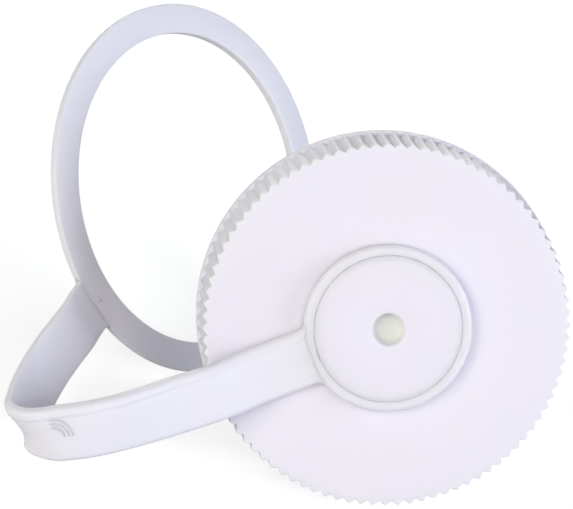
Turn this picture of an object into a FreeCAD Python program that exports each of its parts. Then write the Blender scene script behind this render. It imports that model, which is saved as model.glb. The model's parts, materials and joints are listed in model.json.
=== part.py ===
import FreeCAD, Part
import Sketcher
import math
import os
import re

# Tethered screw cap for a wide bottle neck, in two mouldings.
# screw_cap: a knurled cap whose button stands up from the middle of its top face.
# loop_strap: a ring caught under that button, a folded band, and a neck ring at its far end.
# Both are drawn in the cap's frame: its axis is Z, its mouth is at zero and the band leaves
# along X. Then they are laid down together, as the folded part comes to rest on a floor.

# Driving dimensions, in millimetres and degrees
SIZES = {
    # Skirt and top plate of the cap
    "cap_height": 15.0,
    "grip_radius": 35.1,
    "skirt_wall": 2.6,
    "plate_thickness": 2.4,
    "mouth_chamfer": 0.5,
    "corner_chamfer": 0.8,
    # Bead round the mouth
    "bead_overhang": 1.0,
    "bead_height": 1.3,
    "bead_slope": 0.9,
    "bead_chamfer": 0.35,
    # Grip teeth of the skirt
    "tooth_count": 92,
    "tooth_depth": 0.9,
    "tooth_land": 0.16,
    # Rib inside the cap that seals on the rim of the neck
    "seal_inset": 2.0,
    "seal_width": 1.6,
    "seal_rise": 0.9,
    # Button that holds the strap, with a blind hole above and a moulded groove below
    "post_radius": 13.2,
    "flange_overhang": 0.8,
    "flange_thickness": 1.1,
    "button_rise": 3.0,
    "button_soft": 0.6,
    "hole_radius": 3.0,
    "hole_depth": 2.6,
    "hole_chamfer": 0.3,
    "core_wall": 2.4,
    "core_depth": 2.4,
    # Ring of the strap that turns on the button
    "running_gap": 0.3,
    "seat_gap": 0.25,
    "hub_ring_wall": 1.7,
    "hub_ring_rise": 2.45,
    "hub_ring_soft": 0.7,
    # Band of the strap, widest across its flat underside
    "band_width": 10.8,
    "band_thickness": 2.0,
    "band_shoulder": 1.1,
    "root_fillet": 2.0,
    # Run of the band: straight out of the hub ring, five curved stretches, then straight
    "root_run": 2.0,
    "lift_run": 13.0,
    "lift_bend": -24.0,
    "lift_sway": 1.5,
    "lift_twist": -1.0,
    "carry_run": 22.5,
    "carry_bend": 4.0,
    "carry_sway": 6.5,
    "carry_twist": -17.0,
    "turn_run": 13.5,
    "turn_bend": 31.0,
    "turn_sway": -1.5,
    "turn_twist": 0.0,
    "fold_run": 11.0,
    "fold_bend": 86.5,
    "fold_sway": -9.0,
    "fold_twist": -32.0,
    "back_run": 21.5,
    "back_bend": 30.0,
    "back_sway": -9.0,
    "back_twist": 3.0,
    "end_run": 10.6,
    # Neck ring, flat on the side that the fold turns outwards
    "neck_ring_gap": 0.7,
    "neck_ring_width": 6.1,
    "neck_ring_soft": 0.9,
    "neck_bore_chamfer": 0.25,
    "end_fillet": 0.9,
    # How the folded part lies
    "lean_heading": 138.66,
    "lean": 70.05,
    "lie_heading": 228.36,
}

# Sizes that follow from those above
BORE = "(grip_radius - tooth_depth - skirt_wall)"
BEAD = "(grip_radius + bead_overhang)"
SEAL = "(grip_radius - tooth_depth - skirt_wall - seal_inset)"
CEILING = "(cap_height - plate_thickness)"
FLANGE = "(post_radius + flange_overhang)"
BUTTON_TOP = "(cap_height + button_rise)"
STEP_BORE = "(post_radius + flange_overhang + running_gap)"
HUB_RING = "(post_radius + flange_overhang + running_gap + hub_ring_wall)"
SEAT = "(cap_height + seat_gap)"
NECK_BORE = "(grip_radius - tooth_depth - skirt_wall + neck_ring_gap)"
NECK_RING = "(grip_radius - tooth_depth - skirt_wall + neck_ring_gap + neck_ring_width)"

# Curved stretches of the band in order, and the most that its drawn sections stand apart
STRETCHES = ("lift", "carry", "turn", "fold", "back")
SECTION_SPACING = 4.5

doc = FreeCAD.newDocument("loop_top_cap")
sheet = doc.addObject("Spreadsheet::Sheet", "sizes")
for row, (alias, number) in enumerate(SIZES.items(), start=1):
    sheet.set(f"A{row}", alias)
    sheet.set(f"B{row}", str(number))
    sheet.setAlias(f"B{row}", alias)
doc.recompute()


def value(expression):
    """Number that an expression in the sheet's names stands for."""
    return float(sheet.evalExpression(expression))


def in_sheet(expression):
    """The expression as an object beside the sheet writes it, its names led by the sheet's."""
    def led(word):
        return f"sizes.{word[0]}" if word[0] in SIZES else word[0]

    return re.sub(r"[a-z_]+", led, expression)


def origin_feature(body, role):
    """Plane or axis of a body's own origin."""
    return next(item for item in body.Origin.OriginFeatures if item.Role == role)


def new_body(name):
    """Body whose label names its node."""
    body = doc.addObject("PartDesign::Body", name)
    body.Label = name
    return body


def flat_sketch(body, name, role, lift=None):
    """Sketch on one of the body's origin planes, lifted off it by an expression."""
    sketch = body.newObject("Sketcher::SketchObject", name)
    sketch.AttachmentSupport = [(origin_feature(body, role), "")]
    sketch.MapMode = "FlatFace"
    if lift is not None:
        sketch.setExpression("AttachmentOffset.Base.z", in_sheet(lift))
    return sketch


def placed_sketch(body, name, placement):
    """Sketch that stands at a placement in the body."""
    sketch = body.newObject("Sketcher::SketchObject", name)
    sketch.Placement = placement
    return sketch


def pin(sketch, kind, edge, end, expression):
    """Hold one end of an edge at a distance from the sketch's origin, along one axis."""
    number = value(expression)
    if abs(number) < 1e-9:
        axis = -2 if kind == "DistanceX" else -1
        sketch.addConstraint(Sketcher.Constraint("PointOnObject", edge, end, axis))
        return
    ends = (-1, 1, edge, end) if number > 0 else (edge, end, -1, 1)
    index = sketch.addConstraint(Sketcher.Constraint(kind, *ends, abs(number)))
    sign = "" if number > 0 else "-1 * "
    sketch.setExpression(f"Constraints[{index}]", f"{sign}({in_sheet(expression)})")


def arc_through(start, end, radius, hollow):
    """Arc from start to end that bulges to the right of the way, or to its left if hollow."""
    along = end - start
    side = FreeCAD.Vector(along.y, -along.x, 0).normalize()
    if hollow:
        side = side * -1
    reach = math.sqrt(max(radius ** 2 - (along.Length / 2) ** 2, 0.0))
    summit = (start + end) * 0.5 + side * (radius - reach)
    return Part.Arc(start, summit, end)


def draw_outline(sketch, corners, rounds=None, hollows=None):
    """Closed outline, counter-clockwise, through corners given as pairs of expressions.

    rounds and hollows give the radius of each edge that is an arc, by the number of the corner
    where it starts. A round bulges out of the outline, a hollow into it.
    """
    rounds = rounds or {}
    hollows = hollows or {}
    points = [FreeCAD.Vector(value(across), value(up), 0) for across, up in corners]
    ends = []
    for edge, start in enumerate(points):
        end = points[(edge + 1) % len(points)]
        radius = rounds.get(edge) or hollows.get(edge)
        if radius is None:
            sketch.addGeometry(Part.LineSegment(start, end))
        else:
            sketch.addGeometry(arc_through(start, end, value(radius), edge in hollows))
        # A sketch counts the ends of an arc counter-clockwise, so a hollow one starts at its second
        ends.append((2, 1) if edge in hollows else (1, 2))
    for edge, (across, up) in enumerate(corners):
        following = (edge + 1) % len(points)
        joint = Sketcher.Constraint("Coincident", edge, ends[edge][1], following, ends[following][0])
        sketch.addConstraint(joint)
        pin(sketch, "DistanceX", edge, ends[edge][0], across)
        pin(sketch, "DistanceY", edge, ends[edge][0], up)
    for edge, radius in {**rounds, **hollows}.items():
        index = sketch.addConstraint(Sketcher.Constraint("Radius", edge, value(radius)))
        sketch.setExpression(f"Constraints[{index}]", in_sheet(radius))


def revolve(body, name, sketch, axis):
    """Whole turn of a sketch about an axis."""
    feature = body.newObject("PartDesign::Revolution", name)
    feature.Profile = sketch
    feature.ReferenceAxis = axis
    feature.Angle = 360
    return feature


def pad(body, name, sketch, length):
    """Sketch pushed out along its normal by an expression."""
    feature = body.newObject("PartDesign::Pad", name)
    feature.Profile = sketch
    feature.setExpression("Length", in_sheet(length))
    return feature


def soft_corner(across, up, size):
    """Three corners that soften an upper outer edge with two bevels, in place of a round."""
    return [
        (across, f"{up} - {size}"),
        (f"{across} - 0.3 * {size}", f"{up} - 0.3 * {size}"),
        (f"{across} - {size}", up),
    ]


# Cap


def cap_section(body):
    """Half section of the cap from its axis outwards, with the button on top."""
    sketch = flat_sketch(body, "cap_section", "XZ_Plane")
    flange_foot = f"{BUTTON_TOP} - flange_thickness"
    hole_floor = f"{BUTTON_TOP} - hole_depth"
    core_outer = "post_radius - core_wall"
    core_inner = "hole_radius + core_wall"
    core_top = f"{CEILING} + core_depth"
    draw_outline(sketch, [
        ("0", CEILING),
        (core_inner, CEILING),
        (core_inner, core_top),
        (core_outer, core_top),
        (core_outer, CEILING),
        (f"{SEAL} - seal_width / 2", CEILING),
        (SEAL, f"{CEILING} - seal_rise"),
        (f"{SEAL} + seal_width / 2", CEILING),
        (f"{BORE} - corner_chamfer", CEILING),
        (BORE, f"{CEILING} - corner_chamfer"),
        (BORE, "mouth_chamfer"),
        (f"{BORE} + mouth_chamfer", "0"),
        (f"{BEAD} - bead_chamfer", "0"),
        (BEAD, "bead_chamfer"),
        (BEAD, "bead_height"),
        ("grip_radius", "bead_height + bead_slope"),
        ("grip_radius", "cap_height"),
        ("post_radius", "cap_height"),
        ("post_radius", flange_foot),
        (FLANGE, flange_foot),
        *soft_corner(FLANGE, BUTTON_TOP, "button_soft"),
        ("hole_radius + hole_chamfer", BUTTON_TOP),
        ("hole_radius", f"{BUTTON_TOP} - hole_chamfer"),
        ("hole_radius", hole_floor),
        ("0", hole_floor),
    ])
    return sketch


def cut_grip(body):
    """V grooves down the skirt, from the top face to the bead, that leave the grip teeth."""
    sketch = flat_sketch(body, "grip_groove", "XY_Plane", "bead_height + bead_slope")
    floor = "grip_radius - tooth_depth"
    # The flanks run on past the skirt at their own slope, so that the groove cuts clear of it
    half_mouth = "(grip_radius * 180deg / tooth_count * pi / 180deg - tooth_land / 2)"
    draw_outline(sketch, [
        (floor, "0"),
        ("grip_radius + tooth_depth", f"-2 * {half_mouth}"),
        ("grip_radius + tooth_depth", f"2 * {half_mouth}"),
    ])
    groove = body.newObject("PartDesign::Pocket", "first_groove")
    groove.Profile = sketch
    groove.Reversed = True
    groove.setExpression("Length", in_sheet("cap_height - bead_height - bead_slope + button_rise"))
    grip = body.newObject("PartDesign::PolarPattern", "grip")
    grip.Originals = [groove]
    grip.Axis = (origin_feature(body, "Z_Axis"), [""])
    grip.Angle = 360
    grip.setExpression("Occurrences", "sizes.tooth_count")
    body.Tip = grip
    return grip


def build_cap():
    body = new_body("screw_cap")
    revolve(body, "turned_cap", cap_section(body), (origin_feature(body, "Z_Axis"), [""]))
    cut_grip(body)
    return body


# Strap

BAND_SECTION = [
    ("band_width / -2", "band_thickness / -2"),
    ("band_width / 2", "band_thickness / -2"),
    ("band_width / 2", "band_thickness / 2 - band_shoulder"),
    ("band_width / 2 - band_shoulder", "band_thickness / 2"),
    ("band_shoulder - band_width / 2", "band_thickness / 2"),
    ("band_width / -2", "band_thickness / 2 - band_shoulder"),
]
BAND_ROUNDS = {2: "band_shoulder", 4: "band_shoulder"}


def part_way(stretch, share):
    """Placement reached after a share of a stretch, in the frame of its start.

    The band runs along Z with its width along X and its upper face towards Y. Over a stretch it
    turns evenly about one axis, so its centreline there is part of a helix.
    """
    run = value(f"{stretch}_run") * share
    bend = math.radians(value(f"{stretch}_bend"))
    sway = math.radians(value(f"{stretch}_sway"))
    twist = math.radians(value(f"{stretch}_twist"))
    turn = FreeCAD.Vector(bend, -sway, twist) * share
    angle = turn.Length
    ahead = FreeCAD.Vector(0, 0, 1)
    if angle < 1e-9:
        return FreeCAD.Placement(ahead * run, FreeCAD.Rotation())
    axis = turn * (1 / angle)
    level = axis * axis.dot(ahead)
    swept = ahead - level
    shift = level * run
    shift += swept * (run * math.sin(angle) / angle)
    shift += axis.cross(swept) * (run * (1 - math.cos(angle)) / angle)
    return FreeCAD.Placement(shift, FreeCAD.Rotation(axis, math.degrees(angle)))


def root_station():
    """Placement of the band's section where it leaves the hub ring's plane."""
    height = value(f"{SEAT} + band_thickness / 2")
    outwards = FreeCAD.Rotation(FreeCAD.Vector(0, 1, 0), FreeCAD.Vector(0, 0, 1), FreeCAD.Vector(1, 0, 0))
    return FreeCAD.Placement(FreeCAD.Vector(value(f"{HUB_RING} + root_run"), 0, height), outwards)


def band_sketch(body, name, placement):
    """Section of the band at a placement."""
    sketch = placed_sketch(body, name, placement)
    draw_outline(sketch, BAND_SECTION, BAND_ROUNDS)
    return sketch


def hub_ring(body):
    """Ring that turns on the post, with a step in its bore for the flange of the button."""
    sketch = flat_sketch(body, "hub_ring_section", "XZ_Plane")
    step = f"{BUTTON_TOP} - flange_thickness - seat_gap"
    top = f"{SEAT} + hub_ring_rise"
    draw_outline(sketch, [
        ("post_radius + running_gap", SEAT),
        (HUB_RING, SEAT),
        *soft_corner(HUB_RING, top, "hub_ring_soft"),
        (STEP_BORE, top),
        (STEP_BORE, step),
        ("post_radius + running_gap", step),
    ])
    return revolve(body, "hub_ring", sketch, (origin_feature(body, "Z_Axis"), [""]))


def corner_web(body, name, placement, ring_radius, fillet, height):
    """Flat web that rounds both corners between the band and the outside of a ring.

    Its plane is the underside of the band, with X along the band away from the ring's centre.
    """
    sketch = placed_sketch(body, name, placement)
    half = "band_width / 2"
    arc_centre = f"sqrt(({ring_radius} + {fillet}) ^ 2 - ({half} + {fillet}) ^ 2)"
    share = f"{ring_radius} / ({ring_radius} + {fillet})"
    on_ring = f"{arc_centre} * {share}"
    beside = f"({half} + {fillet}) * {share}"
    draw_outline(sketch, [
        (on_ring, f"-1 * {beside}"),
        (arc_centre, f"-1 * ({half})"),
        (arc_centre, half),
        (on_ring, beside),
    ], hollows={0: fillet, 2: fillet})
    return pad(body, f"{name}_pad", sketch, height)


def neck_ring(body, centre):
    """Neck ring about the Y axis of the band's frame at its centre."""
    face = "band_thickness / -2"
    back = "band_thickness / 2"
    sketch = placed_sketch(body, "neck_ring_section", centre)
    draw_outline(sketch, [
        (f"{NECK_BORE} + neck_bore_chamfer", face),
        (NECK_RING, face),
        *soft_corner(NECK_RING, back, "neck_ring_soft"),
        (f"{NECK_BORE} + neck_bore_chamfer", back),
        (NECK_BORE, f"{back} - neck_bore_chamfer"),
        (NECK_BORE, f"{face} + neck_bore_chamfer"),
    ])
    return revolve(body, "neck_ring", sketch, (sketch, ["V_Axis"]))


def build_strap():
    body = new_body("loop_strap")
    hub_ring(body)
    # The root is straight, from inside the hub ring to the first bend
    root = band_sketch(body, "root_section", root_station())
    root_pad = pad(body, "root", root, "root_run + hub_ring_wall / 2")
    root_pad.Reversed = True
    web_height = "band_thickness - band_shoulder"
    root_corners = FreeCAD.Placement(FreeCAD.Vector(0, 0, value(SEAT)), FreeCAD.Rotation())
    corner_web(body, "root_web", root_corners, HUB_RING, "root_fillet", web_height)
    # Each curved stretch is a loft that starts on the last section of the one before
    section = root
    station = root_station()
    for stretch in STRETCHES:
        steps = math.ceil(value(f"{stretch}_run") / SECTION_SPACING)
        stations = [station.multiply(part_way(stretch, step / steps)) for step in range(1, steps + 1)]
        later = [band_sketch(body, f"{stretch}_{step}", place)
                 for step, place in enumerate(stations, start=1)]
        loft = body.newObject("PartDesign::AdditiveLoft", stretch)
        loft.Profile = section
        loft.Sections = later
        section = later[-1]
        station = stations[-1]
    # The far end is straight, into the neck ring
    pad(body, "end", section, "end_run + neck_ring_width / 2")
    reach = value(f"end_run + {NECK_RING}")
    centre = station.multiply(FreeCAD.Placement(FreeCAD.Vector(0, 0, reach), FreeCAD.Rotation()))
    # The ring's section stands in the plane of its axis and the way back along the band
    back_along = FreeCAD.Rotation(FreeCAD.Vector(0, 0, -1), FreeCAD.Vector(0, 1, 0), FreeCAD.Vector(1, 0, 0))
    neck_ring(body, centre.multiply(FreeCAD.Placement(FreeCAD.Vector(), back_along)))
    # Its web lies on the band's underside, which faces away from the band's Y axis
    under = FreeCAD.Vector(0, value("band_thickness / -2"), 0)
    flat = FreeCAD.Rotation(FreeCAD.Vector(0, 0, -1), FreeCAD.Vector(-1, 0, 0), FreeCAD.Vector(0, 1, 0))
    end_corners = centre.multiply(FreeCAD.Placement(under, flat))
    corner_web(body, "end_web", end_corners, NECK_RING, "end_fillet", web_height)
    return body


# Assembly


def faulty(item):
    """Whether a document object failed to build."""
    return "Invalid" in item.State or "Error" in item.State


def lay_down(bodies):
    """Turn the bodies as they lie, and set them on the floor with their box over the origin."""
    up = FreeCAD.Vector(0, 0, 1)
    lean_axis = FreeCAD.Rotation(up, value("lean_heading")).multVec(FreeCAD.Vector(1, 0, 0))
    lean = FreeCAD.Rotation(lean_axis, value("lean"))
    turn = FreeCAD.Rotation(up, value("lie_heading")).multiply(lean)
    for body in bodies:
        body.Placement = FreeCAD.Placement(FreeCAD.Vector(), turn)
    doc.recompute()
    box = Part.makeCompound([body.Shape for body in bodies]).optimalBoundingBox(False, False)
    floor_point = FreeCAD.Vector(box.Center.x, box.Center.y, box.ZMin)
    for body in bodies:
        body.Placement = FreeCAD.Placement(floor_point * -1, turn)
    doc.recompute()


def export(bodies):
    """Check every object, then write each body to its own file."""
    failed = [item.Name for item in doc.Objects if faulty(item)]
    if failed:
        raise RuntimeError(f"objects failed: {failed}")
    os.makedirs("parts", exist_ok=True)
    for body in bodies:
        shape = body.Shape
        if shape.isNull() or not shape.isValid() or len(shape.Solids) != 1:
            raise RuntimeError(f"{body.Label} is not one valid solid")
        shape.exportStep(f"parts/{body.Label}.step")
        print(body.Label, round(shape.Volume, 1), "mm3", len(shape.Faces), "faces")


BODIES = [build_cap(), build_strap()]
doc.recompute()
lay_down(BODIES)
export(BODIES)
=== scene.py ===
"""Looks of a tethered screw cap: a knurled cap, and the strap that turns on its button.

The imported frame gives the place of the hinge. Shapes are worked out in the cap's own frame, in
millimetres: its axis is Z, its mouth is at zero and the band leaves along X. They are then laid
down as the folded part lies on the floor, in metres.
"""

from __future__ import annotations

import json
import logging
import math
from collections.abc import Callable
from dataclasses import dataclass, field
from enum import Enum

import bpy
import numpy as np
from mathutils import Matrix, Vector

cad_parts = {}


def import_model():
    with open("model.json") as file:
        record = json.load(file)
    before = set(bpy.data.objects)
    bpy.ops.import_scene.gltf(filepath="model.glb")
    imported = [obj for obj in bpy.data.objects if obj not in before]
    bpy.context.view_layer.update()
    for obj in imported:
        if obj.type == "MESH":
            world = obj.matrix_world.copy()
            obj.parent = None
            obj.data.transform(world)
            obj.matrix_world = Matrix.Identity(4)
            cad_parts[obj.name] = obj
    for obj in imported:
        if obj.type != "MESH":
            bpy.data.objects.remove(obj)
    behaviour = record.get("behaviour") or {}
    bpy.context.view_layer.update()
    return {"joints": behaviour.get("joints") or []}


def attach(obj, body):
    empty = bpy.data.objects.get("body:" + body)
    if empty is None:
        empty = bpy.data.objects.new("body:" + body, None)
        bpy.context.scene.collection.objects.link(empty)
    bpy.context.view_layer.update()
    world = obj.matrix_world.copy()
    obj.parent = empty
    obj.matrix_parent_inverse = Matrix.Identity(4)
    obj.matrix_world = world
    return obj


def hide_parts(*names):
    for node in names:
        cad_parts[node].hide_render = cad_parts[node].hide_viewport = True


LOG = logging.getLogger("loop_top_cap")

MM = 0.001
FULL_TURN = 2.0 * math.pi
WHITE = (1.0, 1.0, 1.0)

Points = np.ndarray
Number = float | int
Colour = tuple[float, float, float]


class Body(Enum):
    """Bodies of the frame that a piece can ride on."""

    CAP = "cap"
    STRAP = "strap"


class Ends(Enum):
    """How the rows of a surface close."""

    JOINED = "joined"
    CAPPED = "capped"


# Grids and outlines


def blend(values: Points) -> Points:
    """Smooth step from 0 to 1: 3 t squared less 2 t cubed, with t held between 0 and 1.

    Args:
        values: Positions along the step, 0 at its start and 1 at its end.

    Returns:
        Heights of the step.
    """
    t = np.clip(values, 0.0, 1.0)
    return t * t * (3.0 - 2.0 * t)


def rounded(corners: list[tuple[float, float, float]], closed: bool, steps: int = 5) -> Points:
    """Outline through corners, each with its own radius.

    At a corner that turns by an angle a, the round starts radius times tan(a / 2) before it. Its
    points are an even fan about the round's centre.

    Args:
        corners: Across, up and radius of each corner in order. Radius 0 keeps it sharp.
        closed: Whether the last corner joins the first.
        steps: Points along a round, less one.

    Returns:
        Array of points, one row each.
    """
    plan = np.array(corners, float)
    spots = plan[:, :2]
    made: list[Points] = []
    count = len(spots)
    for index, radius in enumerate(plan[:, 2]):
        at_end = not closed and index in (0, count - 1)
        if radius <= 0.0 or at_end:
            made.append(spots[index][None, :])
            continue
        back = spots[index - 1] - spots[index]
        ahead = spots[(index + 1) % count] - spots[index]
        back /= np.linalg.norm(back)
        ahead /= np.linalg.norm(ahead)
        half = 0.5 * math.acos(float(np.clip(back @ ahead, -1.0, 1.0)))
        middle = (back + ahead) / np.linalg.norm(back + ahead)
        centre = spots[index] + middle * (radius / math.sin(half))
        reach = radius / math.tan(half)
        first = spots[index] + back * reach - centre
        last = spots[index] + ahead * reach - centre
        sweep = math.atan2(first[0] * last[1] - first[1] * last[0], float(first @ last))
        angles = np.linspace(0.0, sweep, steps + 1)
        cosines, sines = np.cos(angles), np.sin(angles)
        across = cosines * first[0] - sines * first[1]
        up = sines * first[0] + cosines * first[1]
        made.append(centre + np.stack([across, up], axis=1))
    return np.concatenate(made)


def surface_mesh(name: str, grid: Points, ends: Ends, sharp_deg: float = 35.0) -> bpy.types.Mesh:
    """Closed mesh over a grid of points whose columns always close round.

    Rows are joined last to first, or each end gets a fan of triangles to the middle of its row.
    The signed volume is the sum of each triangle's corner products, and a negative one turns all
    faces round, so that they point outwards.

    Args:
        name: Name of the mesh.
        grid: Rows by columns by 3, in metres.
        ends: How the rows close.
        sharp_deg: Angle between faces past which their edge stays sharp.

    Returns:
        The mesh, shaded smooth between its sharp edges.
    """
    rows, columns = grid.shape[:2]
    vertices = grid.reshape(-1, 3)
    numbers = np.arange(rows * columns).reshape(rows, columns)
    upper = np.roll(numbers, -1, axis=0) if ends is Ends.JOINED else numbers[1:]
    lower = numbers if ends is Ends.JOINED else numbers[:-1]
    quads = np.stack([lower, np.roll(lower, -1, axis=1), np.roll(upper, -1, axis=1), upper], axis=-1)
    quads = quads.reshape(-1, 4)
    fans = np.empty((0, 3), int)
    if ends is Ends.CAPPED:
        poles = grid[[0, -1]].mean(axis=1)
        first, last = numbers[0], numbers[-1]
        start = np.stack([np.full(columns, len(vertices)), np.roll(first, -1), first], axis=-1)
        stop = np.stack([np.full(columns, len(vertices) + 1), last, np.roll(last, -1)], axis=-1)
        fans = np.concatenate([start, stop])
        vertices = np.concatenate([vertices, poles])
    triangles = np.concatenate([quads[:, :3], quads[:, [0, 2, 3]], fans])
    a, b, c = (vertices[triangles[:, side]] for side in range(3))
    if np.einsum("ij,ij->i", a, np.cross(b, c)).sum() < 0.0:
        quads, fans = quads[:, ::-1], fans[:, ::-1]
    mesh = bpy.data.meshes.new(name)
    mesh.from_pydata(vertices.tolist(), [], quads.tolist() + fans.tolist())
    mesh.polygons.foreach_set("use_smooth", np.ones(len(mesh.polygons), bool))
    mesh.set_sharp_from_angle(angle=math.radians(sharp_deg))
    mesh.update()
    return mesh


def cylindrical(radius: Points, angles: Points, height: Points) -> Points:
    """Points at radius times cosine, radius times sine, and height, as the arrays broadcast."""
    places = np.broadcast_arrays(radius * np.cos(angles), radius * np.sin(angles), height)
    return np.stack(places, axis=-1)


def turned(outline: Points, count: int) -> Points:
    """Grid of an outline turned about Z, in even columns.

    Args:
        outline: Radius and height of each point.
        count: Columns in the whole turn.

    Returns:
        Rows by columns by 3.
    """
    angles = np.linspace(0.0, FULL_TURN, count, endpoint=False)
    return cylindrical(outline[:, :1], angles, outline[:, 1:])


# Placement


@dataclass(frozen=True)
class Attitude:
    """How the cap's own frame lies in the row frame.

    Attributes:
        hinge: Point of the hinge in the row frame, in metres.
        hinge_height: Height of that point on the cap's axis, in millimetres.
        lean_heading: Heading of the axis that the part leans about, in degrees.
        lean: Angle that the part leans, in degrees.
        lie_heading: Angle that the leaning part is then turned about Z, in degrees.
    """

    hinge: tuple[float, float, float]
    hinge_height: float
    lean_heading: float = 138.66
    lean: float = 70.05
    lie_heading: float = 228.36

    def rotation(self) -> Points:
        """Rotation from the cap's frame to the row frame: the lean, then the turn about Z.

        Returns:
            Matrix of 3 by 3.
        """
        heading = math.radians(self.lean_heading)
        lean_axis = (math.cos(heading), math.sin(heading), 0.0)
        leaning = Matrix.Rotation(math.radians(self.lean), 3, lean_axis)
        lying = Matrix.Rotation(math.radians(self.lie_heading), 3, "Z")
        return np.array(lying @ leaning)

    def origin(self) -> Points:
        """Middle of the cap's mouth in the row frame, in metres."""
        return np.array(self.hinge) - self.rotation() @ np.array([0.0, 0.0, self.hinge_height * MM])

    def lay(self, points: Points) -> Points:
        """Points of the cap's frame, in millimetres, as they lie in the row frame, in metres."""
        return points @ self.rotation().T * MM + self.origin()


def placed(name: str, data: bpy.types.ID) -> bpy.types.Object:
    """New object of the scene, over a mesh, a lamp or a camera.

    Args:
        name: Name of the object.
        data: What the object shows.

    Returns:
        The object, at the origin.
    """
    thing = bpy.data.objects.new(name, data)
    bpy.context.scene.collection.objects.link(thing)
    return thing


@dataclass
class Workshop:
    """Makes pieces out of grids, lays them down and hands them to the frame."""

    attitude: Attitude

    def piece(
        self, name: str, grid: Points, ends: Ends, body: Body, finish: bpy.types.Material
    ) -> bpy.types.Object:
        """Piece over a grid in the cap's frame, in its finish, riding on its body.

        Args:
            name: Name of the piece.
            grid: Rows by columns by 3, in millimetres.
            ends: How the rows close.
            body: Body that the piece rides on.
            finish: Material of the piece.

        Returns:
            The new object, which sits at the origin.
        """
        thing = placed(name, surface_mesh(name, self.attitude.lay(grid), ends))
        thing.data.materials.append(finish)
        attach(thing, body.value)
        LOG.info("%s: %d faces on %s", name, len(thing.data.polygons), body.value)
        return thing


# Finishes


class Signal:
    """A number that runs through a material, on which Python's operators add Math nodes."""

    def __init__(self, tree: NodeTree, socket: bpy.types.NodeSocket) -> None:
        """Wraps an output socket of a node of the tree."""
        self.tree = tree
        self.socket = socket

    def _math(self, operation: str, *values: Signal | Number, clamp: bool = False) -> Signal:
        """Result of one Math node.

        Args:
            operation: What the node works out.
            values: Signal or number for each of its sockets in order.
            clamp: Whether the result is held between 0 and 1.

        Returns:
            The result.
        """
        settings = {"operation": operation, "use_clamp": clamp}
        node = self.tree.node("ShaderNodeMath", settings, dict(enumerate(values)))
        return Signal(self.tree, node.outputs[0])

    def __add__(self, other: Signal | Number) -> Signal:
        """The sum, in either order."""
        return self._math("ADD", self, other)

    __radd__ = __add__

    def __sub__(self, other: Signal | Number) -> Signal:
        """The number less another."""
        return self._math("SUBTRACT", self, other)

    def __rsub__(self, other: Signal | Number) -> Signal:
        """Another number less this one."""
        return self._math("SUBTRACT", other, self)

    def __mul__(self, other: Signal | Number) -> Signal:
        """The product, in either order."""
        return self._math("MULTIPLY", self, other)

    __rmul__ = __mul__

    def __truediv__(self, other: Signal | Number) -> Signal:
        """The number over another."""
        return self._math("DIVIDE", self, other)

    def held(self) -> Signal:
        """The number held between 0 and 1."""
        return self._math("ADD", self, 0.0, clamp=True)

    def root(self) -> Signal:
        """Square root of the number."""
        return self._math("SQRT", self)

    def above(self, edge: Number, rate: Number) -> Signal:
        """Share that is 0 up to an edge and grows to 1 above it, at a rate."""
        return ((self - edge) * rate).held()

    def below(self, edge: Number, rate: Number) -> Signal:
        """Share that is 0 from an edge on and grows to 1 below it, at a rate."""
        return ((edge - self) * rate).held()


class NodeTree:
    """Nodes of one material, or of the world."""

    def __init__(self, owner: bpy.types.Material | bpy.types.World) -> None:
        """Takes over the owner's node tree, and empties it.

        Args:
            owner: Material or world that the nodes are for.
        """
        self.owner = owner
        self.owner.use_nodes = True
        self.owner.node_tree.nodes.clear()

    def node(
        self, kind: str, settings: dict[str, object], inputs: dict[str | int, object]
    ) -> bpy.types.Node:
        """Adds a node: its settings first, then the values or links of its sockets.

        Args:
            kind: Type of the node.
            settings: Its own properties by name.
            inputs: Value, signal or output socket for each input, by name or number.

        Returns:
            The node.
        """
        made = self.owner.node_tree.nodes.new(kind)
        for key, setting in settings.items():
            setattr(made, key, setting)
        for key, given in inputs.items():
            source = given.socket if isinstance(given, Signal) else given
            if isinstance(source, bpy.types.NodeSocket):
                self.owner.node_tree.links.new(source, made.inputs[key])
            else:
                made.inputs[key].default_value = source
        return made

    def signal(
        self, kind: str, settings: dict[str, object], inputs: dict[str | int, object], output: str
    ) -> Signal:
        """One output of a new node as a signal."""
        return Signal(self, self.node(kind, settings, inputs).outputs[output])

    def mixed(self, first: object, second: object, share: Signal) -> bpy.types.NodeSocket:
        """Colour between two colours, by a share of the second.

        Args:
            first: Colour at a share of 0, or the socket that gives it.
            second: Colour at a share of 1, or the socket that gives it.
            share: Share of the second.

        Returns:
            Socket of the mixed colour.
        """
        factor, colour_a, colour_b, result = 0, 6, 7, 2
        inputs = {factor: share, colour_a: first, colour_b: second}
        return self.node("ShaderNodeMix", {"data_type": "RGBA"}, inputs).outputs[result]


def solid(colour: Colour) -> tuple[float, float, float, float]:
    """Colour with full alpha."""
    return (*colour, 1.0)


# Function that adds the nodes of the painted shade's share in recesses, and gives the share at a place
PaintedShadeShare = Callable[[NodeTree, bpy.types.NodeSocket], Signal]


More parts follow.
